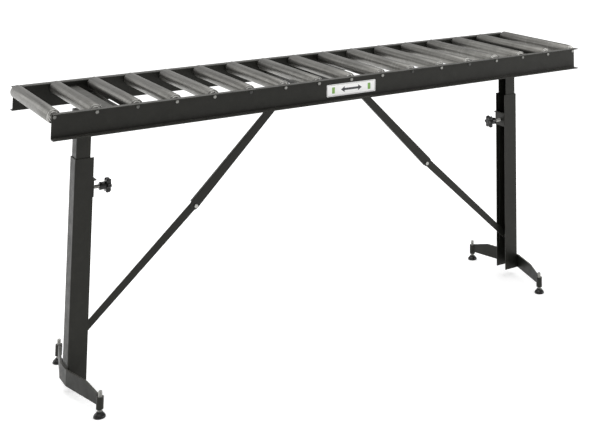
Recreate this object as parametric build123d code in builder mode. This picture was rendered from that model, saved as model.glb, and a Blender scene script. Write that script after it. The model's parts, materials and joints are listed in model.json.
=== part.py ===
from build123d import *
import math
import os

# Gravity roller conveyor on two adjustable pedestal legs.
# Millimetres. X runs along the conveyor, Y across it, Z up. The origin is on the floor,
# midway along the conveyor and midway between its side rails.

# --- driving dimensions -------------------------------------------------------------

# table
rail_length = 1670.0
frame_width = 380.0          # over the outer faces of the two rail webs
rail_height = 63.0
rail_flange = 20.0           # how far each flange stands out from the web's outer face
rail_top = 736.0             # above the floor
rail_sheet = 2.5
rail_bend = 4.0              # outer bend radius

# rollers
roller_count = 17
roller_pitch = 103.5
roller_diameter = 34.0
roller_wall = 1.5
roller_length = 356.0
axle_drop = 10.0             # axle centre below the rail's top face
axle_diameter = 8.0
axle_hole_diameter = 8.2
axle_head_diameter = 9.0     # peened over outside each web
axle_head_height = 2.4
race_diameter = 12.0
race_length = 20.0
tube_rim = 0.5               # rounding of the tube's outer ends
cup_depth = 12.0             # bearing cup, inside the tube
cup_sheet = 1.6
cup_lip_height = 1.4         # the lip covers the tube's end
cup_lip_radius = 16.4
cup_boss_radius = 12.0
cup_boss_height = 3.6
cup_boss_chamfer = 1.4
running_gap = 0.06           # radial, between a bearing cup and its inner race
fit_gap = 0.02               # radial, between pressed pieces that stay separate

# leg cross members, hat sections that stand between the second and third roller from each end
cross_top_drop = 39.0        # top face of the flat strips below the rail's top face
cross_sheet = 2.5
cross_skirt = 22.0
leg_cross_tab = 15.0         # the tab on the post, from its outer face to the section's edge
leg_cross_ledge = 15.0       # flat strip outside the raised rib
leg_cross_rib = 33.0
leg_cross_rib_height = 23.0
leg_cross_shelf = 49.0       # flat strip inside the rib, up to the skirt's face

# brace cross members, inverted L sections either side of the middle
brace_cross_inner_x = 50.0   # from mid-length to the nearer edge
brace_cross_width = 40.0
lug_sheet = 5.0
lug_length = 62.0
lug_depth = 26.0
lug_corner = 5.2

# legs, C sections that open towards the middle of the conveyor
leg_inset = 111.0            # from the rail's end to the leg web's outer face
leg_width = 48.0             # across, along Y
leg_depth = 48.5             # along X
leg_sheet = 2.5
leg_bend = 4.0
leg_bottom = 26.0
leg_top = 575.0
slide_gap = 0.3
post_depth = 37.0
post_bottom = 98.0

# saddle clamp and lock knob on each leg
saddle_bottom = 475.0
saddle_top = 518.0
saddle_sheet = 2.5
saddle_lip = 6.0
saddle_edge = 1.0
knob_axis_z = 493.0
stud_diameter = 10.0
stud_tip_diameter = 7.0
stud_tip_length = 4.0
clamp_nut_flats = 17.0
clamp_nut_height = 8.0
hub_start = 21.0             # from the saddle plate's outer face to the hub
hub_length = 16.0
hub_diameter = 20.0
knob_head_length = 13.0
knob_diameter = 40.0
knob_lobes = 6
knob_lobe_radius = 6.0
knob_edge = 2.0
stud_in_head = 5.2           # how far the stud runs into the knob's head

# braces
brace_foot = (-695.0, 124.0)     # pin through the inner post, as X and Z
brace_joint = (-382.0, 398.0)    # bolt that joins the two halves
brace_head = (-101.0, 683.0)     # bolt at the lug
brace_joint_offset = 5.0         # bolt below the bars' centre line
upper_brace_radius_joint = 13.9
upper_brace_radius_head = 10.0
upper_brace_sheet = 2.5
upper_brace_flange = 8.0
upper_brace_bend = 2.0
lower_brace_radius_joint = 11.2
lower_brace_radius_foot = 9.0
lower_brace_thickness = 4.0
pin_diameter = 8.0
spacer_diameter = 12.4

# foot bars and levelling feet
foot_plate = 5.0
foot_bar_bottom = 25.5
foot_bar_top = 63.5
foot_bar_end_top = 48.0
foot_bar_taper_y = 115.0
foot_bend_y = 27.0
foot_sweep = 35.0            # sleeve centre inward from the leg web's outer face
foot_spread = 179.0          # sleeve centre from the middle, along Y
sleeve_diameter = 18.0
sleeve_bottom = 19.0
sleeve_height = 28.0
pad_diameter = 30.0
pad_height = 13.0
pad_rim = 3.5
pad_neck_diameter = 15.0
pad_shoulder = (11.6, 7.6)    # a point on the dome, as radius and height
level_stud_top = 60.0
level_stud_bottom = 5.0
level_stud_chamfer = 1.0

# fasteners
post_bolt_diameter = 8.0
post_bolt_flats = 13.0
post_bolt_spacing = 20.0
brace_bolt_diameter = 6.0
brace_bolt_flats = 10.0
bolt_clearance = 0.2
bolt_length = 16.0
bolt_head_height = 0.65      # bolt head sizes, as shares of the bolt's diameter
bolt_head_chamfer = 0.06
post_nut_height = 6.5
brace_nut_height = 3.8

# label
label_length = 158.0
label_height = 33.0
label_thickness = 0.4
label_top_drop = 18.0

# --- derived places -----------------------------------------------------------------

web_outer = frame_width / 2
web_inner = web_outer - rail_sheet
rail_middle = rail_top - rail_height / 2
axle_z = rail_top - axle_drop
cross_top = rail_top - cross_top_drop
cross_bottom = cross_top - cross_skirt
roller_places = [(n - (roller_count - 1) / 2) * roller_pitch for n in range(roller_count)]

leg_x = -rail_length / 2 + leg_inset                     # left leg, outer face of its web
leg_open_x = leg_x + leg_depth
post_x = leg_x + leg_sheet + slide_gap                   # left inner post, outer face of its web
post_width = leg_width - 2 * (leg_sheet + slide_gap)
post_top = cross_top - rail_bend                         # clear of the cross member's strips
post_bolt_z = (cross_bottom + post_top) / 2
saddle_x = leg_open_x + saddle_sheet                     # outer face of the saddle plate
sleeve_x = leg_x + foot_sweep
sleeve_top = sleeve_bottom + sleeve_height

os.makedirs("parts", exist_ok=True)


def save(piece, name):
    """Labels a finished piece and writes it to its own file."""
    piece.label = name
    export_step(piece, f"parts/{name}.step")


def save_pair(left, name):
    """Writes a left-hand piece and its mirror image at the right-hand leg."""
    with BuildPart() as right:
        mirror(left, about=Plane.YZ)
    save(left, f"{name}_left")
    save(right.part, f"{name}_right")


def channel(plane, depth, width, sheet, bend, length):
    """A C section. Its web's outer face lies on the plane's Y axis, its flanges along X."""
    with BuildPart() as section:
        with BuildSketch(plane) as profile:
            Rectangle(depth, width, align=(Align.MIN, Align.CENTER))
            with Locations((sheet, 0)):
                Rectangle(
                    depth, width - 2 * sheet, align=(Align.MIN, Align.CENTER), mode=Mode.SUBTRACT
                )
        extrude(amount=length)
        along = section.edges().filter_by(Axis(plane.origin, plane.z_dir))
        across = along.group_by(Axis(plane.origin, plane.x_dir))
        fillet(across[0], bend)
        inner = section.edges().filter_by(Axis(plane.origin, plane.z_dir))
        corner_x = [e for e in inner if abs(plane.to_local_coords(e.center()).X - sheet) < 0.01]
        corners = [e for e in corner_x if abs(abs(plane.to_local_coords(e.center()).Y)
                                              - (width / 2 - sheet)) < 0.01]
        fillet(corners, bend - sheet)
    return section.part


def hex_bolt(seat, diameter, flats, length):
    """A bolt whose head stands on the seat plane and whose shank runs back through it."""
    with BuildPart() as bolt:
        with BuildSketch(seat):
            RegularPolygon(flats / 2, 6, major_radius=False)
        extrude(amount=diameter * bolt_head_height)
        top = bolt.faces().sort_by(Axis(seat.origin, seat.z_dir))[-1]
        chamfer(top.edges(), diameter * bolt_head_chamfer)
        with BuildSketch(seat):
            Circle(diameter / 2)
        extrude(amount=-length)
    return bolt.part


def hex_nut(seat, bore, flats, height):
    """A nut that stands on the seat plane."""
    with BuildPart() as nut:
        with BuildSketch(seat):
            RegularPolygon(flats / 2, 6, major_radius=False)
            Circle(bore / 2, mode=Mode.SUBTRACT)
        extrude(amount=height)
    return nut.part


def facing_front(x, y, z):
    """A plane at a point, facing the front side, -Y, with X along the conveyor."""
    return Plane(origin=(x, y, z), x_dir=(1, 0, 0), z_dir=(0, -1, 0))


def facing_back(x, y, z):
    """A plane at a point, facing the back side, +Y."""
    return Plane(origin=(x, y, z), x_dir=(-1, 0, 0), z_dir=(0, 1, 0))


def facing_right(x, y, z):
    """A plane at a point, facing +X, with its own X axis along Y."""
    return Plane(origin=(x, y, z), x_dir=(0, 1, 0), z_dir=(1, 0, 0))


# --- side rails ---------------------------------------------------------------------

front_rail_plane = Plane(
    origin=(-rail_length / 2, -web_inner, rail_middle), x_dir=(0, -1, 0), z_dir=(1, 0, 0)
)
with BuildPart() as side_rail_front:
    add(channel(front_rail_plane, rail_flange + rail_sheet, rail_height, rail_sheet, rail_bend,
                rail_length))
    with BuildSketch(facing_front(0, -web_inner, axle_z)):
        with GridLocations(roller_pitch, 1, roller_count, 1):
            Circle(axle_hole_diameter / 2)
    extrude(amount=rail_sheet, mode=Mode.SUBTRACT)
save(side_rail_front.part, "side_rail_front")

with BuildPart() as side_rail_back:
    mirror(side_rail_front.part, about=Plane.XZ)
save(side_rail_back.part, "side_rail_back")

with BuildPart() as rail_label:
    with BuildSketch(facing_front(0, -web_outer, rail_top - label_top_drop - label_height / 2)):
        Rectangle(label_length, label_height)
    extrude(amount=label_thickness)
save(rail_label.part, "rail_label")

# --- cross members ------------------------------------------------------------------

# A bent tab, as wide as the inner post, backs the post's web so the two can be bolted together.
leg_cross_x = post_x - cross_sheet
rib_start = leg_cross_tab + leg_cross_ledge
rib_end = rib_start + leg_cross_rib
shelf_end = rib_end + leg_cross_shelf
with BuildPart() as leg_cross_member:
    with BuildSketch(facing_front(leg_cross_x, web_inner, cross_top)):
        with BuildLine():
            Polyline(
                (leg_cross_tab, 0),
                (rib_start, 0),
                (rib_start, leg_cross_rib_height),
                (rib_end, leg_cross_rib_height),
                (rib_end, 0),
                (shelf_end, 0),
                (shelf_end, -cross_skirt),
                (shelf_end - cross_sheet, -cross_skirt),
                (shelf_end - cross_sheet, -cross_sheet),
                (rib_end - cross_sheet, -cross_sheet),
                (rib_end - cross_sheet, leg_cross_rib_height - cross_sheet),
                (rib_start + cross_sheet, leg_cross_rib_height - cross_sheet),
                (rib_start + cross_sheet, -cross_sheet),
                (leg_cross_tab, -cross_sheet),
                close=True,
            )
        make_face()
    extrude(amount=2 * web_inner)
    with BuildSketch(facing_front(leg_cross_x, post_width / 2, cross_top)):
        with BuildLine():
            Polyline(
                (0, 0),
                (leg_cross_tab, 0),
                (leg_cross_tab, -cross_sheet),
                (cross_sheet, -cross_sheet),
                (cross_sheet, -cross_skirt),
                (0, -cross_skirt),
                close=True,
            )
        make_face()
    extrude(amount=post_width)
    with BuildSketch(facing_right(leg_cross_x, 0, post_bolt_z)):
        with GridLocations(post_bolt_spacing, 1, 2, 1):
            Circle((post_bolt_diameter + bolt_clearance) / 2)
    extrude(amount=cross_sheet, mode=Mode.SUBTRACT)
save_pair(leg_cross_member.part, "leg_cross_member")

with BuildPart() as brace_cross_member:
    with BuildSketch(Plane(origin=(-brace_cross_inner_x, -web_inner, cross_top),
                           x_dir=(-1, 0, 0), z_dir=(0, 1, 0))):
        with BuildLine():
            Polyline(
                (0, 0),
                (brace_cross_width, 0),
                (brace_cross_width, -cross_sheet),
                (cross_sheet, -cross_sheet),
                (cross_sheet, -cross_skirt),
                (0, -cross_skirt),
                close=True,
            )
        make_face()
    extrude(amount=2 * web_inner)
save_pair(brace_cross_member.part, "brace_cross_member")

# --- inner posts --------------------------------------------------------------------

post_plane = Plane(origin=(post_x, 0, post_bottom), x_dir=(1, 0, 0), z_dir=(0, 0, 1))
with BuildPart() as inner_post:
    add(channel(post_plane, post_depth, post_width, leg_sheet, leg_bend, post_top - post_bottom))
    with BuildSketch(facing_right(post_x, 0, post_bolt_z)):
        with GridLocations(post_bolt_spacing, 1, 2, 1):
            Circle((post_bolt_diameter + bolt_clearance) / 2)
    extrude(amount=leg_sheet, mode=Mode.SUBTRACT)
    with BuildSketch(facing_front(brace_foot[0], post_width / 2, brace_foot[1])):
        Circle(pin_diameter / 2 + fit_gap)
    extrude(amount=post_width, mode=Mode.SUBTRACT)
save_pair(inner_post.part, "inner_post")

# --- braces -------------------------------------------------------------------------

# Both halves are tapered bars. The joint bolt sits below the centre line that they share.
brace_run = math.hypot(brace_head[0] - brace_foot[0], brace_head[1] - brace_foot[1])
brace_up = (-(brace_head[1] - brace_foot[1]) / brace_run, (brace_head[0] - brace_foot[0]) / brace_run)
joint_centre = (
    brace_joint[0] + brace_joint_offset * brace_up[0],
    brace_joint[1] + brace_joint_offset * brace_up[1],
)

# The lower half is a flat bar in the middle plane, inside the upper half's flanges.
with BuildPart() as lower_brace:
    with BuildSketch(facing_front(0, lower_brace_thickness, 0)):
        with Locations(brace_foot):
            Circle(lower_brace_radius_foot)
        with Locations(joint_centre):
            Circle(lower_brace_radius_joint)
        make_hull()
        with Locations(brace_foot):
            Circle(pin_diameter / 2 + fit_gap, mode=Mode.SUBTRACT)
        with Locations(brace_joint):
            Circle((brace_bolt_diameter + bolt_clearance) / 2, mode=Mode.SUBTRACT)
    extrude(amount=lower_brace_thickness)
save_pair(lower_brace.part, "lower_brace")

# The upper half is pressed sheet: a flat web towards the front, with flanges turned back.
# The flange stops short of the joint, where the lower half comes in.
with BuildPart() as upper_brace:
    with BuildSketch(facing_front(0, upper_brace_flange, 0)):
        with Locations(brace_head):
            Circle(upper_brace_radius_head)
        with Locations(joint_centre):
            Circle(upper_brace_radius_joint)
        make_hull()
    extrude(amount=upper_brace_flange + upper_brace_sheet)
    fillet(upper_brace.faces().sort_by(Axis.Y)[0].edges(), upper_brace_bend)
    with BuildSketch(facing_front(0, upper_brace_flange, 0)):
        with Locations(brace_head):
            Circle(upper_brace_radius_head - upper_brace_sheet)
        with Locations(joint_centre):
            Circle(upper_brace_radius_joint - upper_brace_sheet)
        make_hull()
    extrude(amount=upper_brace_flange, mode=Mode.SUBTRACT)
    with BuildSketch(Plane(origin=(joint_centre[0], upper_brace_flange, joint_centre[1]),
                           x_dir=(brace_up[0], 0, brace_up[1]), z_dir=(0, -1, 0))):
        Rectangle(4 * upper_brace_radius_joint, 2 * upper_brace_radius_joint,
                  align=(Align.CENTER, Align.MIN))
    extrude(amount=upper_brace_flange, mode=Mode.SUBTRACT)
    with BuildSketch(facing_front(0, 0, 0)):
        with Locations(brace_head, brace_joint):
            Circle((brace_bolt_diameter + bolt_clearance) / 2)
    extrude(amount=upper_brace_sheet, mode=Mode.SUBTRACT)
save_pair(upper_brace.part, "upper_brace")

# A lug hangs under each brace cross member, in front of the upper half.
lug_back_y = -upper_brace_sheet
lug_right_x = -brace_cross_inner_x - cross_sheet
with BuildPart() as brace_lug:
    with BuildSketch(facing_front(lug_right_x, lug_back_y, cross_top - cross_sheet)):
        Rectangle(lug_length, lug_depth, align=(Align.MAX, Align.MAX))
    extrude(amount=lug_sheet)
    fillet(brace_lug.edges().filter_by(Axis.Y).sort_by(Axis.Z)[:2], lug_corner)
    with BuildSketch(facing_front(brace_head[0], lug_back_y, brace_head[1])):
        Circle((brace_bolt_diameter + bolt_clearance) / 2)
    extrude(amount=lug_sheet, mode=Mode.SUBTRACT)
with BuildPart() as brace_lugs:
    add(brace_lug.part)
    mirror(brace_lug.part, about=Plane.YZ)
save(brace_lugs.part, "brace_lugs")

# The foot pin is flush with the inner post, so that the leg slides past it.
with BuildPart() as brace_foot_pins:
    with BuildSketch(facing_front(0, post_width / 2, 0)):
        with Locations(brace_foot, (-brace_foot[0], brace_foot[1])):
            Circle(pin_diameter / 2)
    extrude(amount=post_width)
save(brace_foot_pins.part, "brace_foot_pins")

post_inside = post_width / 2 - leg_sheet
with BuildPart() as brace_spacers:
    for start, length in ((0, post_inside), (post_inside, post_inside - lower_brace_thickness)):
        with BuildSketch(facing_front(0, start, 0)):
            with Locations(brace_foot, (-brace_foot[0], brace_foot[1])):
                Circle(spacer_diameter / 2)
                Circle(pin_diameter / 2 + fit_gap, mode=Mode.SUBTRACT)
        extrude(amount=length)
save(brace_spacers.part, "brace_spacers")

# --- frame fasteners ----------------------------------------------------------------

post_nut_x = post_x + leg_sheet
lug_front_y = lug_back_y - lug_sheet

with BuildPart() as left_bolts:
    for y in (-post_bolt_spacing / 2, post_bolt_spacing / 2):
        seat = Plane(origin=(leg_cross_x, y, post_bolt_z), x_dir=(0, -1, 0), z_dir=(-1, 0, 0))
        add(hex_bolt(seat, post_bolt_diameter, post_bolt_flats, bolt_length))
    joint_seat = facing_front(brace_joint[0], -upper_brace_sheet, brace_joint[1])
    add(hex_bolt(joint_seat, brace_bolt_diameter, brace_bolt_flats, bolt_length))
    head_seat = facing_front(brace_head[0], lug_front_y, brace_head[1])
    add(hex_bolt(head_seat, brace_bolt_diameter, brace_bolt_flats, bolt_length))
with BuildPart() as frame_bolts:
    add(left_bolts.part)
    mirror(left_bolts.part, about=Plane.YZ)
save(frame_bolts.part, "frame_bolts")

with BuildPart() as left_nuts:
    for y in (-post_bolt_spacing / 2, post_bolt_spacing / 2):
        add(hex_nut(facing_right(post_nut_x, y, post_bolt_z), post_bolt_diameter + 2 * fit_gap,
                    post_bolt_flats, post_nut_height))
    add(hex_nut(facing_back(brace_joint[0], lower_brace_thickness, brace_joint[1]),
                brace_bolt_diameter + 2 * fit_gap, brace_bolt_flats, brace_nut_height))
    add(hex_nut(facing_back(brace_head[0], 0, brace_head[1]),
                brace_bolt_diameter + 2 * fit_gap, brace_bolt_flats, brace_nut_height))
with BuildPart() as frame_nuts:
    add(left_nuts.part)
    mirror(left_nuts.part, about=Plane.YZ)
save(frame_nuts.part, "frame_nuts")

# --- rollers ------------------------------------------------------------------------

# Axles run through both webs and are peened over outside them.
axle_half = web_outer + fit_gap
with BuildPart() as roller_axles:
    with BuildSketch(facing_front(0, axle_half, axle_z)):
        with GridLocations(roller_pitch, 1, roller_count, 1):
            Circle(axle_diameter / 2)
    extrude(amount=2 * axle_half)
    for plane in (facing_front(0, -axle_half, axle_z), facing_back(0, axle_half, axle_z)):
        with BuildSketch(plane):
            with GridLocations(roller_pitch, 1, roller_count, 1):
                Circle(axle_head_diameter / 2)
        extrude(amount=axle_head_height)
    fillet(roller_axles.edges().filter_by(GeomType.CIRCLE).group_by(Axis.Y)[0], axle_head_height / 2)
    fillet(roller_axles.edges().filter_by(GeomType.CIRCLE).group_by(Axis.Y)[-1], axle_head_height / 2)
save(roller_axles.part, "roller_axles")

# Inner races also space the rollers from the webs.
with BuildPart() as bearing_inner_races:
    for start in (-web_inner + race_length, web_inner):
        with BuildSketch(facing_front(0, start, axle_z)):
            with GridLocations(roller_pitch, 1, roller_count, 1):
                Circle(race_diameter / 2)
                Circle(axle_diameter / 2 + fit_gap, mode=Mode.SUBTRACT)
        extrude(amount=race_length)
save(bearing_inner_races.part, "bearing_inner_races")

# Each bearing cup is pressed into the tube's end, with a lip over the end and a boss outside it.


def cup_outline(end):
    """Half the section of a bearing cup, as distance along the axle and radius from it."""
    bore = race_diameter / 2 + running_gap
    outside = roller_diameter / 2 - roller_wall - fit_gap
    return [
        (end - cup_depth, outside - cup_sheet),
        (end - cup_depth, outside),
        (end + fit_gap, outside),
        (end + fit_gap, cup_lip_radius),
        (end + cup_lip_height, cup_lip_radius),
        (end + cup_lip_height, cup_boss_radius),
        (end + cup_boss_height - cup_boss_chamfer, cup_boss_radius),
        (end + cup_boss_height, cup_boss_radius - cup_boss_chamfer),
        (end + cup_boss_height, bore),
        (end - cup_depth, bore),
        (end - cup_depth, bore + cup_sheet),
        (end - cup_sheet, bore + cup_sheet),
        (end - cup_sheet, outside - cup_sheet),
    ]


def roller(x):
    """A roller: a tube and two bearing cups, as three solids."""
    axle = Axis((x, 0, axle_z), (0, 1, 0))
    with BuildPart() as built:
        with BuildSketch(facing_front(x, roller_length / 2, axle_z)):
            Circle(roller_diameter / 2)
            Circle(roller_diameter / 2 - roller_wall, mode=Mode.SUBTRACT)
        extrude(amount=roller_length)
        rims = built.edges().filter_by(GeomType.CIRCLE).filter_by(
            lambda e: e.radius > roller_diameter / 2 - 0.01
        )
        fillet(rims, tube_rim)
        with BuildSketch(Plane(origin=(x, 0, axle_z), x_dir=(0, 1, 0), z_dir=(1, 0, 0))):
            with BuildLine():
                Polyline(*cup_outline(roller_length / 2), close=True)
            make_face()
            mirror(about=Plane.YZ)
        revolve(axis=axle)
    return built.part


for number, place in enumerate(roller_places, start=1):
    save(roller(place), f"roller_{number:02d}")

# --- outer legs ---------------------------------------------------------------------

leg_plane = Plane(origin=(leg_x, 0, leg_bottom), x_dir=(1, 0, 0), z_dir=(0, 0, 1))
with BuildPart() as outer_leg:
    add(channel(leg_plane, leg_depth, leg_width, leg_sheet, leg_bend, leg_top - leg_bottom))
save_pair(outer_leg.part, "outer_leg")

# The saddle bridges the leg's open side. Its top edge is turned out as a lip.
saddle_height = saddle_top - saddle_bottom
with BuildPart() as saddle_clamp:
    with BuildSketch(facing_right(leg_open_x, 0, saddle_bottom)):
        Rectangle(leg_width, saddle_height, align=(Align.CENTER, Align.MIN))
        with Locations((0, knob_axis_z - saddle_bottom)):
            Circle(stud_diameter / 2 + bolt_clearance, mode=Mode.SUBTRACT)
    extrude(amount=saddle_sheet)
    with BuildSketch(facing_right(saddle_x, 0, saddle_top - saddle_sheet)):
        Rectangle(leg_width, saddle_sheet, align=(Align.CENTER, Align.MIN))
    extrude(amount=saddle_lip)
    fillet(saddle_clamp.edges().filter_by(Axis.Z).group_by(Axis.X)[-1], saddle_edge)
save_pair(saddle_clamp.part, "saddle_clamp")

with BuildPart() as clamp_nut:
    add(hex_nut(facing_right(leg_open_x - clamp_nut_height, 0, knob_axis_z),
                stud_diameter + 2 * running_gap, clamp_nut_flats, clamp_nut_height))
save_pair(clamp_nut.part, "clamp_nut")

# --- lock knobs ---------------------------------------------------------------------

hub_x = saddle_x + hub_start
head_x = hub_x + hub_length
stud_end_x = head_x + stud_in_head
tip_x = post_x + leg_sheet + slide_gap

with BuildPart() as knob_stud:
    with BuildSketch(facing_right(tip_x, 0, knob_axis_z)):
        Circle(stud_tip_diameter / 2)
    extrude(amount=stud_tip_length)
    with BuildSketch(facing_right(tip_x + stud_tip_length, 0, knob_axis_z)):
        Circle(stud_diameter / 2)
    extrude(amount=stud_end_x - tip_x - stud_tip_length)
save_pair(knob_stud.part, "knob_stud")

lobe_circle = knob_diameter / 2 - knob_lobe_radius
with BuildPart() as lock_knob:
    with BuildSketch(facing_right(head_x, 0, knob_axis_z)):
        Circle(lobe_circle)
        with PolarLocations(lobe_circle, knob_lobes):
            Circle(knob_lobe_radius)
    extrude(amount=knob_head_length)
    fillet(lock_knob.faces().sort_by(Axis.X)[-1].edges(), knob_edge)
    with BuildSketch(facing_right(hub_x, 0, knob_axis_z)):
        Circle(hub_diameter / 2)
    extrude(amount=hub_length)
    with BuildSketch(facing_right(hub_x, 0, knob_axis_z)):
        Circle(stud_diameter / 2)
    extrude(amount=stud_end_x - hub_x, mode=Mode.SUBTRACT)
save_pair(lock_knob.part, "lock_knob")

# --- foot bars ----------------------------------------------------------------------

# Seen from above: flat across the leg's web, then an arm each way that sweeps in to a sleeve.
arm_start = (leg_x - foot_plate / 2, foot_bend_y)
arm_end = (sleeve_x, foot_spread)
arm_length = math.dist(arm_start, arm_end)
arm_angle = math.degrees(math.atan2(arm_end[1] - arm_start[1], arm_end[0] - arm_start[0]))
foot_bar_height = foot_bar_top - foot_bar_bottom

with BuildPart() as foot_bar:
    with BuildSketch(Plane.XY.offset(foot_bar_bottom)):
        with Locations((arm_start[0], 0)):
            Rectangle(foot_plate, 2 * foot_bend_y)
        with Locations(arm_start):
            Circle(foot_plate / 2)
            Rectangle(arm_length, foot_plate, rotation=arm_angle, align=(Align.MIN, Align.CENTER))
        mirror(about=Plane.XZ)
        with Locations((sleeve_x, foot_spread), (sleeve_x, -foot_spread)):
            Circle(sleeve_diameter / 2 + fit_gap, mode=Mode.SUBTRACT)
    extrude(amount=foot_bar_height)
    with BuildSketch(Plane.YZ.offset(leg_x - 2 * foot_plate)):
        with BuildLine():
            Polyline(
                (foot_bar_taper_y, foot_bar_top),
                (foot_spread, foot_bar_end_top),
                (foot_spread, foot_bar_top + 1),
                (foot_bar_taper_y, foot_bar_top + 1),
                close=True,
            )
        make_face()
        mirror(about=Plane.YZ)
    extrude(amount=foot_sweep + 4 * foot_plate, mode=Mode.SUBTRACT)
save_pair(foot_bar.part, "foot_bar")

with BuildPart() as foot_sleeves:
    with BuildSketch(Plane.XY.offset(sleeve_bottom)):
        with Locations((sleeve_x, foot_spread), (sleeve_x, -foot_spread)):
            Circle(sleeve_diameter / 2)
            Circle(stud_diameter / 2 + running_gap, mode=Mode.SUBTRACT)
    extrude(amount=sleeve_height)
save_pair(foot_sleeves.part, "foot_sleeves")

# --- levelling feet -----------------------------------------------------------------

# Each foot is a threaded stud set into a domed pad.
with BuildPart() as level_stud:
    with BuildSketch(Plane.XY.offset(level_stud_bottom)):
        with Locations((sleeve_x, -foot_spread)):
            Circle(stud_diameter / 2)
    extrude(amount=level_stud_top - level_stud_bottom)
    chamfer(level_stud.faces().sort_by(Axis.Z)[-1].edges(), level_stud_chamfer)

pad_axis = Axis((sleeve_x, -foot_spread, 0), (0, 0, 1))
with BuildPart() as level_pad:
    with BuildSketch(Plane(origin=(sleeve_x, -foot_spread, 0), x_dir=(1, 0, 0), z_dir=(0, -1, 0))):
        with BuildLine():
            Polyline(
                (pad_neck_diameter / 2, pad_height),
                (0, pad_height),
                (0, 0),
                (pad_diameter / 2, 0),
                (pad_diameter / 2, pad_rim),
            )
            ThreePointArc(
                (pad_diameter / 2, pad_rim),
                pad_shoulder,
                (pad_neck_diameter / 2, pad_height),
            )
        make_face()
    revolve(axis=pad_axis)
    with BuildSketch(Plane.XY.offset(level_stud_bottom)):
        with Locations((sleeve_x, -foot_spread)):
            Circle(stud_diameter / 2)
    extrude(amount=pad_height, mode=Mode.SUBTRACT)

for end, side in (("left", "front"), ("left", "back"), ("right", "front"), ("right", "back")):
    for source, name in ((level_stud, "levelling_stud"), (level_pad, "levelling_pad")):
        with BuildPart() as foot_piece:
            add(source.part)
            if end == "right":
                mirror(about=Plane.YZ, mode=Mode.REPLACE)
            if side == "back":
                mirror(about=Plane.XZ, mode=Mode.REPLACE)
        save(foot_piece.part, f"{name}_{end}_{side}")
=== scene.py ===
import json
import math

import bpy
import numpy as np
from mathutils import Matrix, Vector

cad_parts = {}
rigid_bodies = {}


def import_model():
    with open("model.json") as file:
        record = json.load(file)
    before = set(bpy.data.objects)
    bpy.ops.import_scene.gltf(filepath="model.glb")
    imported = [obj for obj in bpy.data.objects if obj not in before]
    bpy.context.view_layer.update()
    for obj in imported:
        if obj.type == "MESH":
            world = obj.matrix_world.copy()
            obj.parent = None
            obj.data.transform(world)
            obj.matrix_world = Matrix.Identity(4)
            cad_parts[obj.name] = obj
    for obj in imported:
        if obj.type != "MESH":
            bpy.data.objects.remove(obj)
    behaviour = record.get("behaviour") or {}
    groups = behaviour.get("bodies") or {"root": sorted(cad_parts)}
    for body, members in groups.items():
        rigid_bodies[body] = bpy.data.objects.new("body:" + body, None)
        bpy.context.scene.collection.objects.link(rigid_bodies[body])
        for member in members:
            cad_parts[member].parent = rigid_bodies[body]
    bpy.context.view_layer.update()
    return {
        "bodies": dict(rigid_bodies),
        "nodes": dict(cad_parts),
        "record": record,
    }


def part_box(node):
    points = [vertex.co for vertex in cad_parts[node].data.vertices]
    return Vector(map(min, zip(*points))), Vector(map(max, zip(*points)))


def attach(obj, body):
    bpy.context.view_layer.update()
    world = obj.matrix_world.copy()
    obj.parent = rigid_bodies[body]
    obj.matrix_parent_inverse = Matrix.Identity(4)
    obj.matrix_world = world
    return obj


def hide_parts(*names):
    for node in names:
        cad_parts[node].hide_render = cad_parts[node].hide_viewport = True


# Gravity roller conveyor. Metres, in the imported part's frame: X along the conveyor, Y across it,
# Z up, the origin on the floor under the middle.

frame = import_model()
NODES = frame["nodes"]
MM = 0.001

SIDES = (("left", 1), ("right", -1))          # the sign of the direction towards the middle, along X
LEG_WIDTH = 48 * MM
PLATE = 5 * MM                                # foot bar thickness
SLEEVE_RADIUS = 9 * MM
FOOT_BEND_Y = 27 * MM
M10_RADIUS = 4.98 * MM
M10_PITCH = 1.5 * MM
M10_DEPTH = 0.75 * MM


# --- shader helpers -----------------------------------------------------------------

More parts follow.
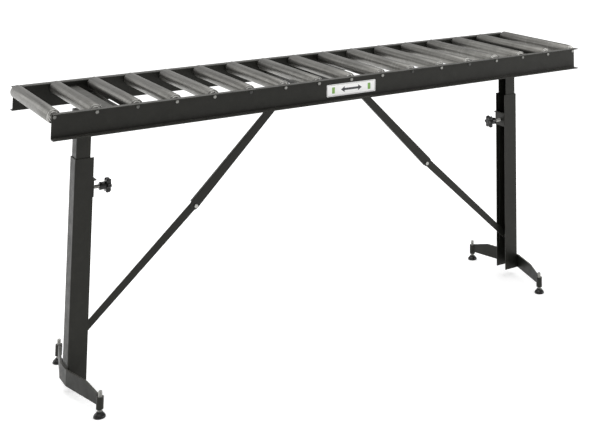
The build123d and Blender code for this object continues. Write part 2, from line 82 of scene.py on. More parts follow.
class Nodes:
    """Builds one material's node tree with few words."""

    def __init__(self, name):
        self.material = bpy.data.materials.new(name)
        self.material.use_nodes = True
        self.tree = self.material.node_tree
        self.surface = self.tree.nodes["Principled BSDF"]
        self.place = self.add("ShaderNodeTexCoord").outputs["Object"]

    def add(self, kind, inputs=None, **settings):
        node = self.tree.nodes.new(kind)
        for key, value in settings.items():
            setattr(node, key, value)
        for key, value in (inputs or {}).items():
            self.feed(node.inputs[key], value)
        return node

    def feed(self, socket, value):
        if isinstance(value, bpy.types.NodeSocket):
            self.tree.links.new(value, socket)
        else:
            socket.default_value = value

    def stretched(self, x, y, z):
        """Object coordinates scaled unevenly, to draw a pattern out along one axis."""
        return self.add("ShaderNodeMapping", {"Vector": self.place, "Scale": (x, y, z)}).outputs[0]

    def noise(self, scale, detail=2.0, rough=0.5, vector=None):
        return self.add("ShaderNodeTexNoise", {
            "Vector": vector or self.place, "Scale": scale, "Detail": detail, "Roughness": rough,
        }).outputs["Fac"]

    def ramp(self, value, low, high, out_low=0.0, out_high=1.0):
        return self.add("ShaderNodeMapRange", {
            "Value": value, "From Min": low, "From Max": high, "To Min": out_low, "To Max": out_high,
        }, clamp=True).outputs["Result"]

    def maths(self, operation, a, b=0.0):
        return self.add("ShaderNodeMath", {0: a, 1: b}, operation=operation).outputs[0]

    def mix(self, share, a, b):
        node = self.add("ShaderNodeMix", data_type="RGBA")
        self.feed(node.inputs["Factor"], share)
        self.feed(node.inputs["A"], a)
        self.feed(node.inputs["B"], b)
        return node.outputs["Result"]

    def bump(self, height, distance, strength=1.0, normal=None):
        inputs = {"Height": height, "Distance": distance, "Strength": strength}
        if normal is not None:
            inputs["Normal"] = normal
        return self.add("ShaderNodeBump", inputs).outputs["Normal"]

    def edges(self, radius):
        """(softened normal, mask that is 1 at sharp outside and inside edges)."""
        soft = self.add("ShaderNodeBevel", {"Radius": radius}, samples=4).outputs["Normal"]
        flat = self.add("ShaderNodeNewGeometry").outputs["Normal"]
        same = self.add("ShaderNodeVectorMath", {0: soft, 1: flat}, operation="DOT_PRODUCT").outputs["Value"]
        return soft, self.ramp(same, 0.995, 0.90)

    def finish(self, **values):
        names = {"base": "Base Color", "rough": "Roughness", "metal": "Metallic", "normal": "Normal",
                 "specular": "Specular IOR Level", "coat": "Coat Weight", "coat_rough": "Coat Roughness",
                 "tint": "Specular Tint"}
        for key, value in values.items():
            self.feed(self.surface.inputs[names[key]], value)
        return self.material


def rgb(r, g, b):
    return (r, g, b, 1.0)


def make_powder_coat():
    """Black semi-gloss powder coat: orange peel, rubbed edges with a painted highlight along the bends, and
    upward faces lighter from dust and a painted sheen.
    """
    n = Nodes("black_powder_coat")
    soft, edge = n.edges(0.9 * MM)
    cloud = n.noise(9.0, 3.0)
    dust = n.ramp(n.noise(60.0, 6.0, 0.65), 0.50, 0.80)
    scuff = n.ramp(n.noise(34.0, 5.0, 0.7, n.stretched(1.0, 1.0, 6.0)), 0.66, 0.78)
    speck = n.ramp(n.noise(900.0, 2.0), 0.70, 0.76)
    colour = n.mix(n.ramp(cloud, 0.3, 0.7), rgb(0.0065, 0.0067, 0.0055), rgb(0.0095, 0.0096, 0.0080))
    colour = n.mix(n.maths("MULTIPLY", dust, 0.16), colour, rgb(0.035, 0.034, 0.029))
    colour = n.mix(n.maths("MULTIPLY", scuff, 0.14), colour, rgb(0.07, 0.068, 0.062))
    # Lighter at sharp outside and inside edges: partly rubbed wear, partly a painted highlight along the
    # bends.
    worn_and_lit_edge = n.maths("MULTIPLY", edge, n.ramp(n.noise(70.0, 5.0, 0.7), 0.38, 0.72, 0.10, 0.75))
    colour = n.mix(worn_and_lit_edge, colour, rgb(0.085, 0.083, 0.074))
    colour = n.mix(n.maths("MULTIPLY", speck, 0.25), colour, rgb(0.10, 0.10, 0.09))
    # Upward faces lighter: partly dust lying on them, partly a painted sheen of the overhead light.
    flat = n.add("ShaderNodeNewGeometry").outputs["Normal"]
    facing = n.add("ShaderNodeSeparateXYZ", {0: flat}).outputs["Z"]
    patches = n.ramp(n.noise(40.0, 5.0, 0.6), 0.25, 0.75, 0.45, 0.95)
    dust_and_sheen_on_top = n.maths("MULTIPLY", n.ramp(facing, 0.6, 0.98), patches)
    colour = n.mix(dust_and_sheen_on_top, colour, rgb(0.085, 0.083, 0.076))
    rough = n.ramp(n.noise(45.0, 4.0, 0.6), 0.3, 0.7, 0.34, 0.50)
    rough = n.maths("ADD", rough, n.maths("MULTIPLY", scuff, 0.12))
    peel = n.maths("ADD", n.noise(520.0, 2.0), n.maths("MULTIPLY", n.noise(1700.0, 1.0), 0.35))
    return n.finish(base=colour, rough=rough, specular=0.27, tint=rgb(1.0, 0.985, 0.93),
                    normal=n.bump(peel, 0.05 * MM, 0.55, soft))


def make_roller_steel():
    """Satin zinc-plated tube: streaks drawn along it, rub bands round it, dull blotches."""
    n = Nodes("roller_steel")
    drawn = n.noise(1.0, 4.0, 0.6, n.stretched(420.0, 5.0, 420.0))
    broad = n.noise(1.0, 3.0, 0.5, n.stretched(110.0, 1.6, 110.0))
    bands = n.noise(1.0, 4.0, 0.65, n.stretched(3.0, 240.0, 3.0))
    blotch = n.noise(26.0, 5.0, 0.6)
    own = n.add("ShaderNodeObjectInfo").outputs["Random"]
    colour = n.mix(n.ramp(drawn, 0.3, 0.7), rgb(0.125, 0.123, 0.114), rgb(0.285, 0.28, 0.262))
    colour = n.mix(n.ramp(broad, 0.38, 0.66, 0.0, 0.70), colour, rgb(0.10, 0.098, 0.091))
    colour = n.mix(n.ramp(bands, 0.52, 0.70, 0.0, 0.40), colour, rgb(0.36, 0.355, 0.335))
    colour = n.mix(n.ramp(blotch, 0.52, 0.70, 0.0, 0.45), colour, rgb(0.12, 0.115, 0.105))
    colour = n.mix(n.maths("MULTIPLY", own, 0.22), colour, rgb(0.20, 0.19, 0.175))
    rough = n.ramp(n.maths("ADD", drawn, n.maths("MULTIPLY", blotch, 0.6)), 0.5, 1.15, 0.33, 0.50)
    soft, edge = n.edges(0.5 * MM)
    # Lighter at sharp edges: a painted highlight on the tube's rolled ends.
    colour = n.mix(n.maths("MULTIPLY", edge, 0.6), colour, rgb(0.45, 0.445, 0.43))
    height = n.maths("ADD", drawn, n.maths("MULTIPLY", bands, 0.5))
    return n.finish(base=colour, metal=0.92, rough=rough, normal=n.bump(height, 0.02 * MM, 0.5, soft))


def make_zinc():
    """Bright zinc plate: fine spangle, turning marks, slight yellowing, white bloom in corners."""
    n = Nodes("zinc_plate")
    soft, edge = n.edges(0.4 * MM)
    fine = n.noise(1100.0, 3.0, 0.6)
    cloud = n.noise(160.0, 4.0, 0.6)
    colour = n.mix(n.ramp(cloud, 0.3, 0.7), rgb(0.30, 0.30, 0.285), rgb(0.44, 0.435, 0.41))
    colour = n.mix(n.ramp(fine, 0.58, 0.75, 0.0, 0.4), colour, rgb(0.24, 0.235, 0.22))
    colour = n.mix(n.maths("MULTIPLY", edge, 0.5), colour, rgb(0.62, 0.62, 0.60))
    rough = n.ramp(cloud, 0.3, 0.7, 0.26, 0.42)
    return n.finish(base=colour, metal=1.0, rough=rough, normal=n.bump(fine, 0.015 * MM, 0.5, soft))


def make_axle_steel():
    """Zinc-plated axle whose peened ends the frame's black coat covers in places."""
    n = Nodes("axle_steel")
    soft, edge = n.edges(0.4 * MM)
    cloud = n.noise(160.0, 4.0, 0.6)
    coat = n.ramp(n.noise(11.0, 2.0), 0.46, 0.60, 0.25, 0.95)
    colour = n.mix(n.ramp(cloud, 0.3, 0.7), rgb(0.28, 0.28, 0.265), rgb(0.42, 0.415, 0.39))
    colour = n.mix(coat, colour, rgb(0.012, 0.012, 0.011))
    colour = n.mix(n.maths("MULTIPLY", edge, 0.25), colour, rgb(0.40, 0.40, 0.38))
    rough = n.ramp(cloud, 0.3, 0.7, 0.28, 0.44)
    return n.finish(base=colour, metal=n.maths("SUBTRACT", 1.0, coat), rough=rough,
                    normal=n.bump(cloud, 0.02 * MM, 0.5, soft))


def make_bearing_steel():
    """Pressed and plated bearing cups and ground races: turned rings, an oily film."""
    n = Nodes("bearing_steel")
    soft, edge = n.edges(0.4 * MM)
    cloud = n.noise(210.0, 4.0, 0.6)
    oil = n.ramp(n.noise(90.0, 4.0, 0.6), 0.50, 0.75)
    colour = n.mix(n.ramp(cloud, 0.3, 0.7), rgb(0.40, 0.395, 0.38), rgb(0.58, 0.575, 0.55))
    colour = n.mix(n.maths("MULTIPLY", oil, 0.55), colour, rgb(0.17, 0.16, 0.14))
    # Near white at sharp edges: a painted glint on the cups' rims and the races' edges.
    colour = n.mix(n.maths("MULTIPLY", edge, 0.6), colour, rgb(0.85, 0.85, 0.83))
    rough = n.ramp(cloud, 0.3, 0.7, 0.22, 0.40)
    return n.finish(base=colour, metal=1.0, rough=rough, normal=n.bump(cloud, 0.02 * MM, 0.5, soft))


def make_black_plastic():
    """Moulded black plastic: fine spark grain, greyed where hands and floor touch it."""
    n = Nodes("black_plastic")
    soft, edge = n.edges(0.5 * MM)
    grain = n.noise(2100.0, 2.0)
    cloud = n.noise(70.0, 4.0, 0.6)
    colour = n.mix(n.ramp(cloud, 0.3, 0.7), rgb(0.0035, 0.0035, 0.0035), rgb(0.0065, 0.0064, 0.0060))
    colour = n.mix(n.maths("MULTIPLY", edge, 0.30), colour, rgb(0.05, 0.05, 0.048))
    rough = n.ramp(cloud, 0.3, 0.7, 0.18, 0.30)
    return n.finish(base=colour, rough=rough, specular=0.36, normal=n.bump(grain, 0.04 * MM, 0.6, soft))


def make_label_film():
    """White printed film: slight gloss, thickness ripple, rubbed grey at its edges."""
    n = Nodes("label_film")
    soft, edge = n.edges(0.3 * MM)
    cloud = n.noise(55.0, 4.0, 0.6)
    smudge = n.ramp(n.noise(38.0, 5.0, 0.65), 0.56, 0.80)
    colour = n.mix(n.ramp(cloud, 0.3, 0.7), rgb(0.86, 0.855, 0.845), rgb(0.92, 0.915, 0.905))
    colour = n.mix(n.maths("MULTIPLY", smudge, 0.22), colour, rgb(0.46, 0.45, 0.43))
    colour = n.mix(n.maths("MULTIPLY", edge, 0.4), colour, rgb(0.35, 0.345, 0.33))
    rough = n.ramp(cloud, 0.3, 0.7, 0.30, 0.44)
    return n.finish(base=colour, rough=rough, specular=0.5, coat=0.25, coat_rough=0.2,
                    normal=n.bump(cloud, 0.05 * MM, 0.4, soft))


def make_ink(name, low, high):
    """Printing ink on film: uneven cover with pinholes."""
    n = Nodes(name)
    cover = n.noise(420.0, 4.0, 0.65)
    colour = n.mix(n.ramp(cover, 0.3, 0.7), rgb(*low), rgb(*high))
    colour = n.mix(n.ramp(n.noise(1500.0, 2.0), 0.74, 0.80, 0.0, 0.6), colour, rgb(0.6, 0.6, 0.58))
    rough = n.ramp(cover, 0.3, 0.7, 0.34, 0.48)
    return n.finish(base=colour, rough=rough, normal=n.bump(cover, 0.01 * MM, 0.4))


def make_floor():
    """Plain pale studio floor that glows a little, more so further off. It is clear from below."""
    n = Nodes("studio_floor")
    colour = n.mix(n.noise(3.0, 3.0), rgb(0.90, 0.90, 0.90), rgb(0.92, 0.92, 0.92))
    n.feed(n.surface.inputs["Emission Color"], rgb(1.0, 1.0, 1.0))
    distance = n.add("ShaderNodeVectorMath", {0: n.place}, operation="LENGTH").outputs["Value"]
    n.feed(n.surface.inputs["Emission Strength"], n.ramp(distance, *FLOOR_GLOW_REACH, *FLOOR_GLOW))
    from_below = n.add("ShaderNodeNewGeometry").outputs["Backfacing"]
    clear = n.add("ShaderNodeBsdfTransparent").outputs[0]
    seen = n.add("ShaderNodeMixShader", {0: from_below, 1: n.surface.outputs[0], 2: clear}).outputs[0]
    n.feed(n.tree.nodes["Material Output"].inputs["Surface"], seen)
    return n.finish(base=colour, rough=0.85, specular=0.1)


FLOOR_GLOW = (0.36, 0.75)                      # emission near the middle, and far off
FLOOR_GLOW_REACH = (2.0, 6.0)                  # the distances those hold from and to, in metres
POWDER = make_powder_coat()
ROLLER = make_roller_steel()
ZINC = make_zinc()
AXLE = make_axle_steel()
BEARING = make_bearing_steel()
PLASTIC = make_black_plastic()
LABEL = make_label_film()
DARK_INK = make_ink("dark_ink", (0.020, 0.022, 0.024), (0.045, 0.047, 0.050))
GREEN_INK = make_ink("green_ink", (0.16, 0.34, 0.06), (0.22, 0.42, 0.09))

SLOT_MATERIALS = {
    "black_powder_coat": POWDER, "roller_steel": ROLLER, "zinc_plate": ZINC,
    "bearing_steel": BEARING, "black_plastic": PLASTIC, "label_film": LABEL,
}
for part in frame["record"]["subparts"]:
    mesh = NODES[part["node"]].data
    mesh.materials.clear()
    mesh.materials.append(AXLE if part["node"] == "roller_axles" else SLOT_MATERIALS[part["material_slot"]])


# --- mesh helpers -------------------------------------------------------------------

def build(name, vertices, faces, materials, body, face_materials=None, crease=35.0, replaces=()):
    """A new visible piece on a body. Smooth, with edges over `crease` degrees kept sharp."""
    mesh = bpy.data.meshes.new(name)
    mesh.from_pydata([tuple(v) for v in vertices], [], faces)
    for material in materials:
        mesh.materials.append(material)
    if face_materials is not None:
        mesh.polygons.foreach_set("material_index", face_materials)
    mesh.validate()
    mesh.shade_smooth()
    mesh.set_sharp_from_angle(angle=math.radians(crease))
    piece = bpy.data.objects.new(name, mesh)
    bpy.context.scene.collection.objects.link(piece)
    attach(piece, body)
    if replaces:
        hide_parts(*replaces)
    return piece


def basis(axis, spoke):
    """Three unit vectors: along the axis, along the spoke, and the third that makes them right-handed."""
    axis = Vector(axis).normalized()
    spoke = Vector(spoke).normalized()
    return axis, spoke, axis.cross(spoke)


def turned(rings, origin, axis, spoke, segments, closed=False):
    """Vertices and faces of a turned shape. Each ring is (distance along the axis, radius) or
    (distance, radius function of the angle). A radius of 0 makes a pole. closed joins last to first."""
    along, u, v = basis(axis, spoke)
    origin = Vector(origin)
    vertices, loops = [], []
    for distance, radius in rings:
        centre = origin + along * distance
        if not callable(radius) and radius == 0:
            loops.append([len(vertices)])
            vertices.append(centre)
            continue
        loop = []
        for k in range(segments):
            angle = 2 * math.pi * k / segments
            r = radius(angle) if callable(radius) else radius
            loop.append(len(vertices))
            vertices.append(centre + u * (r * math.cos(angle)) + v * (r * math.sin(angle)))
        loops.append(loop)
    faces = []
    pairs = list(zip(loops, loops[1:])) + ([(loops[-1], loops[0])] if closed else [])
    for a, b in pairs:
        for k in range(segments):
            m = (k + 1) % segments
            if len(a) == 1:
                faces.append((a[0], b[m], b[k]))
            elif len(b) == 1:
                faces.append((a[k], a[m], b[0]))
            else:
                faces.append((a[k], a[m], b[m], b[k]))
    return vertices, faces


def joined(*shapes):
    """Several (vertices, faces) as one, and the shape number of each face."""
    vertices, faces, numbers = [], [], []
    for number, (vs, fs) in enumerate(shapes):
        start = len(vertices)
        vertices += list(vs)
        faces += [tuple(i + start for i in f) for f in fs]
        numbers += [number] * len(fs)
    return vertices, faces, numbers


def threaded(origin, axis, length, spoke=(0, 1, 0)):
    """An M10 thread with chamfered ends, its ridge a true helix."""
    segments, steps = 28, 6
    count = int(length / M10_PITCH * steps)

    def radius_at(distance):
        lead_in = min(distance, length - distance)

        def radius(angle):
            phase = (distance / M10_PITCH - angle / (2 * math.pi)) % 1.0
            ridge = abs(2 * phase - 1)
            r = M10_RADIUS - M10_DEPTH * min(1.0, max(0.0, 1.25 * ridge - 0.1))
            return min(r, M10_RADIUS - M10_DEPTH + lead_in)
        return radius

    rings = [(0.0, 0)]
    rings += [(length * k / count, radius_at(length * k / count)) for k in range(count + 1)]
    rings.append((length, 0))
    return turned(rings, origin, axis, spoke, segments)


def prism(outline, corner, u, v, depth):
    """A flat outline in the plane of u and v, given thickness along the vector depth."""
    corner, u, v, depth = Vector(corner), Vector(u), Vector(v), Vector(depth)
    base = [corner + u * x + v * y for x, y in outline]
    count = len(base)
    vertices = base + [p + depth for p in base]
    faces = [tuple(reversed(range(count))), tuple(range(count, 2 * count))]
    faces += [(k, (k + 1) % count, count + (k + 1) % count, count + k) for k in range(count)]
    return vertices, faces


def rounded_rectangle(width, height, radius, steps=6):
    """Outline centred on (0, 0), anticlockwise."""
    points = []
    for sx, sy, start in ((1, 1, 0), (-1, 1, 90), (-1, -1, 180), (1, -1, 270)):
        cx, cy = sx * (width / 2 - radius), sy * (height / 2 - radius)
        for k in range(steps + 1):
            angle = math.radians(start + 90 * k / steps)
            points.append((cx + radius * math.cos(angle), cy + radius * math.sin(angle)))
    return points


def bead(start, end, radius, spoke, ripple=2.1 * MM):
    """A weld bead from start to end: overlapping ripples, with rounded ends."""
    start, end = Vector(start), Vector(end)
    length = (end - start).length
    count = max(12, int(length / (0.5 * MM)))
    rings = [(0.0, 0)]
    for k in range(1, count):
        t = length * k / count
        cap = min(1.0, math.sqrt(min(t, length - t) / (1.6 * radius)))
        wave = 1.0 - 0.16 * ((t / ripple) % 1.0)
        sway = 1.0 + 0.05 * math.sin(t / (5.3 * MM)) + 0.03 * math.sin(t / (1.9 * MM) + 1.0)
        rings.append((t, radius * cap * wave * sway))
    rings.append((length, 0))
    return turned(rings, start, end - start, spoke, 10)


# --- rollers ------------------------------------------------------------------------

TUBE_HALF = 178 * MM
TUBE_OUTER = 17 * MM
TUBE_INNER = 15.5 * MM
ROLLER_SEGMENTS = 96
ROLLER_COUNT = 17
TUBE_RINGS = [
    (-TUBE_HALF, TUBE_INNER), (-TUBE_HALF, 16.55 * MM), (-TUBE_HALF + 0.13 * MM, 16.82 * MM),
    (-TUBE_HALF + 0.5 * MM, TUBE_OUTER), (-0.06, TUBE_OUTER), (0.06, TUBE_OUTER),
    (TUBE_HALF - 0.5 * MM, TUBE_OUTER), (TUBE_HALF - 0.13 * MM, 16.82 * MM),
    (TUBE_HALF, 16.55 * MM), (TUBE_HALF, TUBE_INNER),
]
# A pressed cup, as millimetres out from the tube's end, and radius. In order: wall, lip, groove,
# boss, seal recess and bore.
CUP_RINGS = [
    (-12.0, 13.9), (-12.0, 15.45), (0.03, 15.45), (0.03, 16.1), (0.35, 16.38), (1.0, 16.4), (1.35, 16.15),
    (1.4, 15.7), (1.4, 14.4), (1.1, 14.0), (0.6, 13.7), (0.6, 13.0), (0.9, 12.6), (1.6, 12.2), (2.4, 12.0),
    (3.0, 11.7), (3.45, 11.2), (3.6, 10.6), (3.6, 9.0), (3.45, 8.7), (2.5, 8.5), (2.5, 7.3), (2.7, 7.1),
    (3.3, 7.05), (3.4, 6.9), (3.4, 6.1), (-12.0, 6.1), (-12.0, 7.7), (-1.6, 7.7), (-1.6, 13.9),
]
for number in range(1, ROLLER_COUNT + 1):
    node = f"roller_{number:02d}"
    low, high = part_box(node)
    centre = (low + high) / 2
    tube = turned(TUBE_RINGS, centre, (0, 1, 0), (1, 0, 0), ROLLER_SEGMENTS, closed=True)
    cups = []
    for way in (1, -1):
        rings = [(TUBE_HALF + out * MM, radius * MM) for out, radius in CUP_RINGS]
        cups.append(turned(rings, centre, (0, way, 0), (1, 0, 0), ROLLER_SEGMENTS, closed=True))
    vertices, faces, shape = joined(tube, *cups)
    build(f"{node}_tube_and_cups", vertices, faces, [ROLLER, BEARING], f"{node}_body",
          face_materials=[min(s, 1) for s in shape], crease=28.0, replaces=[node])

# --- knobs and levelling feet -------------------------------------------------------

KNOB_LOBES = 6
KNOB_MEAN_RADIUS = 16.6 * MM
KNOB_LOBE_RISE = 3.2 * MM


def star(scale):
    """Radius of the knob's head by angle, in six soft lobes."""
    return lambda angle: scale * (KNOB_MEAN_RADIUS + KNOB_LOBE_RISE * math.cos(KNOB_LOBES * angle))


# Distance from the hub's inner end in millimetres, then radius in millimetres for a round ring or
# a scale for a lobed one.
KNOB_BACK = [(21.0, 0), (21.0, 5.05), (0.0, 5.05), (0.0, 9.1), (0.25, 9.6), (0.9, 10.0), (8.0, 10.0),
             (14.4, 10.15), (15.5, 10.6), (16.0, 11.6)]
KNOB_LOBED = [(16.05, 0.80), (16.3, 0.90), (16.9, 0.96), (18.0, 0.995), (20.0, 1.0), (23.5, 1.0),
              (25.6, 0.985), (27.2, 0.945), (28.3, 0.88), (28.85, 0.80), (29.0, 0.72)]
KNOB_FACE = [(29.0, 10.2), (28.8, 9.8), (28.2, 9.6), (28.15, 8.4), (28.6, 7.6), (28.8, 4.0), (28.85, 0)]

for side, inward in SIDES:
    low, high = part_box(f"lock_knob_{side}")
    middle = (low + high) / 2
    hub_x = low.x if inward > 0 else high.x
    rings = [(t * MM, r * MM) for t, r in KNOB_BACK]
    rings += [(t * MM, star(s)) for t, s in KNOB_LOBED]
    rings += [(t * MM, r * MM) for t, r in KNOB_FACE]
    vertices, faces = turned(rings, (hub_x, middle.y, middle.z), (inward, 0, 0), (0, 1, 0), 144)
    build(f"lobed_knob_{side}", vertices, faces, [PLASTIC], f"knob_{side}",
          crease=40.0, replaces=[f"lock_knob_{side}"])

    low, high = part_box(f"knob_stud_{side}")
    middle = (low + high) / 2
    tip_x = low.x if inward > 0 else high.x
    dog_length, dog_radius = 4 * MM, 3.5 * MM
    dog = turned([(0.0, 0), (0.0, dog_radius - 0.4 * MM), (0.4 * MM, dog_radius),
                  (dog_length, dog_radius), (dog_length, 0)],
                 (tip_x, middle.y, middle.z), (inward, 0, 0), (0, 1, 0), 32)
    rod = threaded((tip_x + inward * dog_length, middle.y, middle.z), (inward, 0, 0),
                   high.x - low.x - dog_length)
    vertices, faces, _ = joined(dog, rod)
    build(f"threaded_knob_stud_{side}", vertices, faces, [ZINC], f"knob_{side}",
          crease=50.0, replaces=[f"knob_stud_{side}"])

PAD_SEGMENTS = 72
# Pad, as height and radius in millimetres, from the middle of its underside to the stud's socket.
PAD_RINGS = [
    (1.0, 0), (1.0, 10.6), (0.9, 11.2), (0.0, 11.6), (0.0, 14.3), (0.25, 14.75), (0.9, 15.0), (2.6, 15.0),
    (3.2, 14.8), (3.5, 14.4), (3.7, 14.35), (4.4, 14.3), (5.6, 13.7), (7.0, 12.5), (8.2, 11.2), (9.4, 9.9),
    (10.6, 8.8), (11.6, 8.1), (12.4, 7.7), (12.85, 7.45), (13.0, 7.0), (13.0, 5.6), (12.6, 5.05), (5.0, 5.05),
    (5.0, 0),
]
for side, _ in SIDES:
    for face in ("front", "back"):
        tag = f"{side}_{face}"
        low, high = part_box(f"levelling_stud_{tag}")
        middle = (low + high) / 2
        vertices, faces = threaded((middle.x, middle.y, low.z), (0, 0, 1), high.z - low.z, (1, 0, 0))
        build(f"threaded_levelling_stud_{tag}", vertices, faces, [ZINC], f"levelling_foot_{tag}",
              crease=50.0, replaces=[f"levelling_stud_{tag}"])
        rings = [(z * MM, r * MM) for z, r in PAD_RINGS]
        vertices, faces = turned(rings, (middle.x, middle.y, 0.0), (0, 0, 1), (1, 0, 0), PAD_SEGMENTS)
        build(f"domed_pad_{tag}", vertices, faces, [PLASTIC], f"levelling_foot_{tag}",
              crease=40.0, replaces=[f"levelling_pad_{tag}"])

# --- label --------------------------------------------------------------------------

low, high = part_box("rail_label")
middle = (low + high) / 2
width, height, film = high.x - low.x, high.z - low.z, high.y - low.y
across, up, out = (1, 0, 0), (0, 0, 1), Vector((0, -1, 0))
back_centre = (middle.x, high.y, middle.z)
vertices, faces = prism(rounded_rectangle(width, height, 2.5 * MM), back_centre, across, up, out * film)
build("plain_label", vertices, faces, [LABEL], "conveyor_frame", replaces=["rail_label"])

INK_DEPTH = 0.06 * MM
ink_centre = Vector((middle.x, low.y + 0.02 * MM, middle.z))


def ink(outline, x, z):
    return prism(outline, ink_centre + Vector((x, 0, z)), across, up, out * INK_DEPTH)


def bar(bar_width, bar_height, x, z):
    return ink(rounded_rectangle(bar_width, bar_height, 0.3 * MM, 2), x, z)


line, inset = 0.7 * MM, 2.2 * MM
arrow_tip, arrow_back, arrow_half, shaft_half = 34 * MM, 22 * MM, 8 * MM, 3 * MM
arrow = [(-arrow_tip, 0), (-arrow_back, -arrow_half), (-arrow_back, -shaft_half), (arrow_back, -shaft_half),
         (arrow_back, -arrow_half), (arrow_tip, 0), (arrow_back, arrow_half), (arrow_back, shaft_half),
         (-arrow_back, shaft_half), (-arrow_back, arrow_half)]
dark = [
    bar(width - 2 * inset, line, 0, height / 2 - inset),
    bar(width - 2 * inset, line, 0, inset - height / 2),
    bar(line, height - 2 * inset - line, inset - width / 2, 0),
    bar(line, height - 2 * inset - line, width / 2 - inset, 0),
    ink(arrow, 0, 0),
]
vertices, faces, _ = joined(*dark)
build("label_arrow_and_border", vertices, faces, [DARK_INK], "conveyor_frame")
vertices, faces, _ = joined(bar(9 * MM, 17 * MM, -58 * MM, 0), bar(9 * MM, 17 * MM, 58 * MM, 0))
build("label_side_bars", vertices, faces, [GREEN_INK], "conveyor_frame")

# --- weld beads ---------------------------------------------------------------------

beads = []
web_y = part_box("side_rail_back")[0].y                  # inner face of the back rail's web
# Along each leg cross member in millimetres: start, end, and depth below the rib's top.
CROSS_BEADS = ((17, 28, 23), (32, 61, 0), (65, 110, 23))
for side, inward in SIDES:
    low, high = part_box(f"leg_cross_member_{side}")
    outer_x = low.x if inward > 0 else high.x
    for start, end, drop in CROSS_BEADS:
        for y in (-web_y, web_y):
            z = high.z - drop * MM
            beads.append(bead((outer_x + inward * start * MM, y, z), (outer_x + inward * end * MM, y, z),
                              1.9 * MM, (0, 0, 1)))
for node in ("brace_cross_member_left", "brace_cross_member_right"):
    low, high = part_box(node)
    for y in (-web_y, web_y):
        beads.append(bead((low.x + 5 * MM, y, high.z), (high.x - 5 * MM, y, high.z), 1.9 * MM, (0, 0, 1)))
lug_low, lug_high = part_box("brace_lugs")
lug_length = 62 * MM
for start in (lug_low.x, lug_high.x - lug_length):
    for y in (lug_low.y, lug_high.y):
        inner, outer = start + 12 * MM, start + lug_length - 12 * MM
        beads.append(bead((inner, y, lug_high.z), (outer, y, lug_high.z), 1.4 * MM, (0, 0, 1)))
vertices, faces, _ = joined(*beads)
build("frame_weld_beads", vertices, faces, [POWDER], "conveyor_frame")

for side, inward in SIDES:
    beads = []
    leg_low, leg_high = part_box(f"outer_leg_{side}")
    bar_low, bar_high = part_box(f"foot_bar_{side}")
    web_x = leg_low.x if inward > 0 else leg_high.x
    open_x = leg_high.x if inward > 0 else leg_low.x
    half = LEG_WIDTH / 2
    # foot bar to leg: down both bends, and along the bar's top edge
    for y in (-half + 3 * MM, half - 3 * MM):
        beads.append(bead((web_x, y, leg_low.z - 1 * MM), (web_x, y, leg_low.z + 1.5 * MM),
                          1.6 * MM, (0, 1, 0)))
    beads.append(bead((web_x, -half + 4 * MM, bar_high.z), (web_x, half - 4 * MM, bar_high.z),
                      1.9 * MM, (0, 0, 1)))
    # foot bar to sleeves
    sleeve_low, sleeve_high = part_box(f"foot_sleeves_{side}")
    sleeve_x = (sleeve_low.x + sleeve_high.x) / 2
    for way in (1, -1):
        sleeve_y = way * (sleeve_high.y - SLEEVE_RADIUS)
        arm_start = Vector((web_x - inward * PLATE / 2, way * FOOT_BEND_Y, 0))
        arm_end = Vector((sleeve_x, sleeve_y, 0))
        back = (arm_start - arm_end).normalized()
        flank = Vector((-back.y, back.x, 0))
        for sign in (1, -1):
            foot = arm_end + back * (SLEEVE_RADIUS - 0.3 * MM) + flank * (sign * PLATE / 2)
            beads.append(bead((foot.x, foot.y, bar_low.z + 1 * MM),
                              (foot.x, foot.y, sleeve_high.z - 1.5 * MM),
                              1.7 * MM, back))
    # saddle to leg flanges
    saddle_low, saddle_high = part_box(f"saddle_clamp_{side}")
    for y in (-half, half):
        beads.append(bead((open_x, y * 0.995, saddle_low.z + 4 * MM),
                          (open_x, y * 0.995, saddle_high.z - 6 * MM),
                          1.3 * MM, (1, 0, 0)))
    vertices, faces, _ = joined(*beads)
    build(f"leg_weld_beads_{side}", vertices, faces, [POWDER], f"leg_{side}")

# --- stage, lights and camera -------------------------------------------------------

FLOOR_SIZE = 40.0
floor_mesh = bpy.data.meshes.new("floor")
half = FLOOR_SIZE / 2
floor_corners = [(-half, -half), (half, -half), (half, half), (-half, half)]
floor_mesh.from_pydata([(x, y, -0.2 * MM) for x, y in floor_corners], [], [(0, 1, 2, 3)])
floor_mesh.materials.append(make_floor())
floor = bpy.data.objects.new("floor", floor_mesh)
bpy.context.scene.collection.objects.link(floor)
# The conveyor stands on its feet, so the floor stays under the lowest of them at every leg setting.
lowest = floor.driver_add("location", 2).driver
lowest.type = "MIN"
for side, inward in SIDES:
    for end in ("front", "back"):
        travel = lowest.variables.new()
        travel.name = f"{side}_{end}"
        travel.type = "TRANSFORMS"
        travel.targets[0].id = frame["bodies"][f"levelling_foot_{side}_{end}"]
        travel.targets[0].transform_type = "LOC_Z"
        travel.targets[0].transform_space = "WORLD_SPACE"

world = bpy.data.worlds.new("studio")
bpy.context.scene.world = world
world.use_nodes = True
sky = world.node_tree.nodes["Background"]
rays = world.node_tree.nodes.new("ShaderNodeLightPath")
level = world.node_tree.nodes.new("ShaderNodeMapRange")
ROOM_LIGHT = 0.58
level.inputs["To Min"].default_value = ROOM_LIGHT
level.inputs["To Max"].default_value = 1.0
world.node_tree.links.new(rays.outputs["Is Camera Ray"], level.inputs["Value"])
world.node_tree.links.new(level.outputs["Result"], sky.inputs["Strength"])
sky.inputs["Color"].default_value = rgb(1.0, 1.0, 1.0)


def softbox(name, place, target, width, height, watts):
    """A large rectangular light that faces a point."""
    light = bpy.data.lights.new(name, "AREA")
    light.shape = "RECTANGLE"
    light.size, light.size_y = width, height
    light.energy = watts
    lamp = bpy.data.objects.new(name, light)
    bpy.context.scene.collection.objects.link(lamp)
    lamp.location = place
    lamp.rotation_euler = (Vector(target) - Vector(place)).to_track_quat("-Z", "Y").to_euler()
    lamp.visible_camera = False
    return lamp


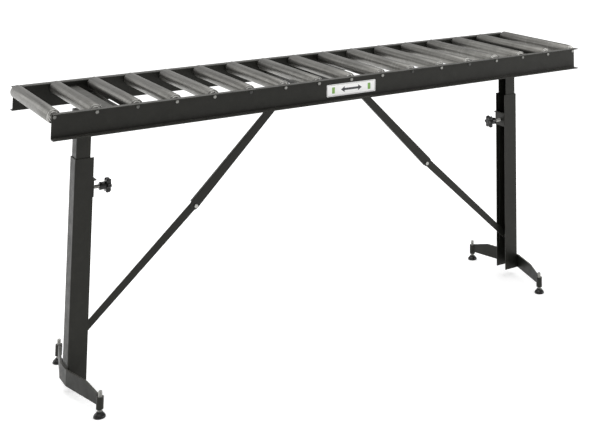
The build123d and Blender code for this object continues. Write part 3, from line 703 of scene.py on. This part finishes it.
softbox("overhead_softbox", (-0.3, 0.4, 3.6), (0.0, 0.0, 0.5), 4.6, 3.6, 95)
softbox("back_left_softbox", (-3.2, 3.4, 1.9), (-0.4, 0.0, 0.6), 2.6, 2.2, 30)
softbox("right_front_softbox", (4.0, -3.2, 1.7), (0.4, 0.0, 0.5), 2.2, 2.2, 64)

# The picture is part of a wider view: the lens axis points well above the picture's middle, and a
# little to its right. So the picture plane isn't square to the camera's line of sight. A parent with
# uneven scale carries that slant, and dropping the parent leaves a plain camera.
EYE = Vector((-1.6261, -3.0376, 1.3512))
HEADING = 0.603                # from +Y towards +X, radians
RISE = 0.116                   # lens axis above level, radians
FOCAL = 1.8541                 # focal length as a share of the picture's width
SLANT_RIGHT = -0.1331          # the picture's middle, right of the lens axis, as a share of the focal length
SLANT_DOWN = 0.4378            # and below it
SENSOR = 36.0

right = Vector((math.cos(HEADING), -math.sin(HEADING), 0))
forward = Vector((math.sin(HEADING) * math.cos(RISE), math.cos(HEADING) * math.cos(RISE), math.sin(RISE)))
upward = right.cross(forward)
towards_middle = forward + SLANT_RIGHT * right - SLANT_DOWN * upward
slanted = np.array([right, upward, -towards_middle.normalized()]).T
left_vectors, stretch, right_vectors = np.linalg.svd(slanted)
if np.linalg.det(right_vectors) < 0:
    left_vectors, right_vectors = -left_vectors, -right_vectors

camera_data = bpy.data.cameras.new("camera")
camera_data.sensor_width = SENSOR
camera_data.lens = SENSOR * FOCAL * towards_middle.length
camera_data.clip_end = 100.0
camera = bpy.data.objects.new("camera", camera_data)
holder = bpy.data.objects.new("camera_holder", None)
for item in (camera, holder):
    bpy.context.scene.collection.objects.link(item)
holder.matrix_world = (Matrix.Translation(EYE) @ Matrix(left_vectors.tolist()).to_4x4()
                       @ Matrix.Diagonal((*stretch.tolist(), 1.0)))
camera.parent = holder
camera.matrix_parent_inverse = Matrix.Identity(4)
camera.rotation_mode = "QUATERNION"
camera.rotation_quaternion = Matrix(right_vectors.tolist()).to_quaternion()
bpy.context.scene.camera = camera
bpy.context.scene.view_settings.view_transform = "Standard"
